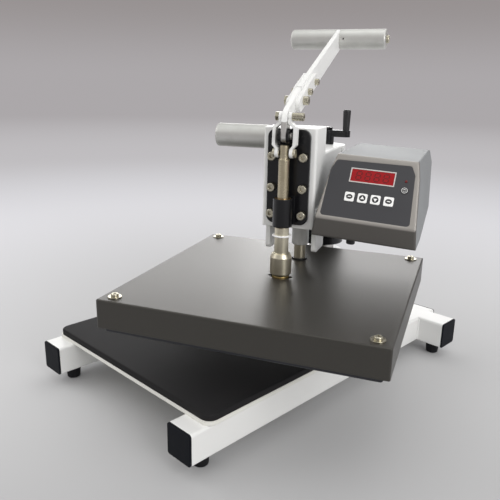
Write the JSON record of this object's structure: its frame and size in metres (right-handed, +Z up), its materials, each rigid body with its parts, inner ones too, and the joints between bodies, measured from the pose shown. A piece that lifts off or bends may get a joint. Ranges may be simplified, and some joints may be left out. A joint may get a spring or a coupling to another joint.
{
  "type": "swing-away heat press",
  "caption": "Manual swing-away heat press: square heated head on an arm that turns about a rear column, with a toggle lever and a sloping control box.",
  "frame": {"origin": "on the bench, under the middle of the press's box, with the head swung 24.1 degrees to the right and raised", "axes": "+X to the operator's right, +Y away from the operator, +Z up"},
  "size_m": [0.6084, 0.6266, 0.5815],
  "materials": {
    "white_paint": "white powder coat, fine orange peel",
    "black_paint": "black powder coat, satin",
    "cover_paint": "dark warm grey paint, semi gloss",
    "housing_paint": "light bluish grey paint, satin",
    "bezel_paint": "warm metallic grey paint, satin",
    "black_plastic": "moulded, matte",
    "panel_film": "dark grey film, matte",
    "pale_plastic": "pale, glossy",
    "red_plastic": "red, translucent, glossy",
    "white_plastic": "white, matte",
    "foot_rubber": "moulded rubber",
    "silicone": "dark silicone sponge",
    "bright_steel": "ground steel",
    "plated_steel": "nickel plated",
    "bronze": "turned bronze",
    "yellow_brass": "turned brass",
    "platen_coat": "dark non-stick coat, satin",
    "bare_aluminium": "fine brushed",
    "board": "pale fibre board"
  },
  "bodies": {
    "base": {"base_frame": "white_paint", "tube_end_caps": "black_plastic", "rubber_feet": "foot_rubber", "lower_platen_plate": "white_paint", "silicone_pad": "silicone", "column": "white_paint", "column_bolts": "plated_steel", "spindle": "bright_steel", "lift_nut": "bronze"},
    "collar": {"height_collar": "black_paint"},
    "arm": {"swing_arm": "white_paint", "sleeve_bushings": "bronze", "guide_plate": "black_paint", "guide_plate_screws": "plated_steel", "ram_bushing": "bronze", "fulcrum_pin": "bright_steel", "swing_handle": "bare_aluminium", "swing_handle_plug": "bare_aluminium", "guide_rod_bushing": "white_paint", "control_bracket": "white_paint", "control_bezel": "bezel_paint", "control_housing": "housing_paint", "control_floor": "housing_paint", "control_panel": "panel_film", "display_frame": "pale_plastic", "display_window": "red_plastic", "power_lamp": "red_plastic", "fuse_holder": "black_plastic", "power_inlet": "black_plastic"},
    "menu": {"menu_key": "white_plastic"},
    "up": {"up_key": "white_plastic"},
    "down": {"down_key": "white_plastic"},
    "enter": {"enter_key": "white_plastic"},
    "power": {"power_key": "white_plastic"},
    "crank": {"crank_arm": "black_paint", "crank_grip": "black_plastic", "crank_nut": "black_paint", "lift_screw": "bright_steel"},
    "lever": {"lever_crank_bar": "bright_steel", "lever_blade": "white_paint", "fish_plates": "white_paint", "lever_screws": "plated_steel", "lever_nuts": "plated_steel", "link_bolt": "plated_steel", "link_bolt_nut": "plated_steel", "tee_grips": "bare_aluminium", "tee_rod": "plated_steel"},
    "links": {"toggle_links": "white_paint", "link_pins": "plated_steel"},
    "head": {"ram_shaft": "bright_steel", "stop_ring": "white_plastic", "coupling": "bright_steel", "coupling_seat": "yellow_brass", "guide_rod": "bright_steel", "guide_rod_grommet": "foot_rubber", "head_cover": "cover_paint", "cover_screws": "plated_steel", "cover_posts": "plated_steel", "insulation": "board", "heat_platen": "platen_coat"}
  },
  "joints": [
    {"name": "arm_height", "type": "slide", "parent": "base", "child": "collar", "axis": [0, 0, 1], "range_m": [-0.0165, 0]},
    {"name": "arm_swing", "type": "hinge", "parent": "collar", "child": "arm", "pos_m": [-0.06519, 0.19028, 0.263], "axis": [0, 0, 1], "range_deg": [-24.1, 65.9]},
    {"name": "lever_pull", "type": "hinge", "parent": "arm", "child": "lever", "pos_m": [0.04707, -0.05529, 0.4125], "axis": [0.9128, 0.4083, 0], "range_deg": [0, 172]},
    {"name": "link_swing", "type": "hinge", "parent": "lever", "child": "links", "pos_m": [0.04572, -0.05228, 0.44], "axis": [0.9128, 0.4083, 0], "range_deg": [-160.5, 0]},
    {"name": "ram_drop", "type": "slide", "parent": "arm", "child": "head", "axis": [0, 0, -1], "range_m": [0, 0.0539]},
    {"name": "crank_turn", "type": "hinge", "parent": "arm", "child": "crank", "pos_m": [-0.06519, 0.19028, 0.39], "axis": [0, 0, 1], "range_deg": [-1190, 0]},
    {"name": "menu_press", "type": "slide", "parent": "arm", "child": "menu", "axis": [-0.3759, 0.7806, -0.4994], "range_m": [0, 0.001], "stiffness_N_per_m": 500, "springref_m": -0.0008},
    {"name": "up_press", "type": "slide", "parent": "arm", "child": "up", "axis": [-0.3759, 0.7806, -0.4994], "range_m": [0, 0.001], "stiffness_N_per_m": 500, "springref_m": -0.0008},
    {"name": "down_press", "type": "slide", "parent": "arm", "child": "down", "axis": [-0.3759, 0.7806, -0.4994], "range_m": [0, 0.001], "stiffness_N_per_m": 500, "springref_m": -0.0008},
    {"name": "enter_press", "type": "slide", "parent": "arm", "child": "enter", "axis": [-0.3759, 0.7806, -0.4994], "range_m": [0, 0.001], "stiffness_N_per_m": 500, "springref_m": -0.0008},
    {"name": "power_press", "type": "slide", "parent": "arm", "child": "power", "axis": [-0.3759, 0.7806, -0.4994], "range_m": [0, 0.001], "stiffness_N_per_m": 500, "springref_m": -0.0008}
  ],
  "couplings": [
    {"joint": "link_swing", "follows": "lever_pull", "ratio": -0.933},
    {"joint": "ram_drop", "follows": "lever_pull", "m_per_rad": 0.01795},
    {"joint": "crank_turn", "follows": "arm_height", "rad_per_m": 1256.6}
  ]
}
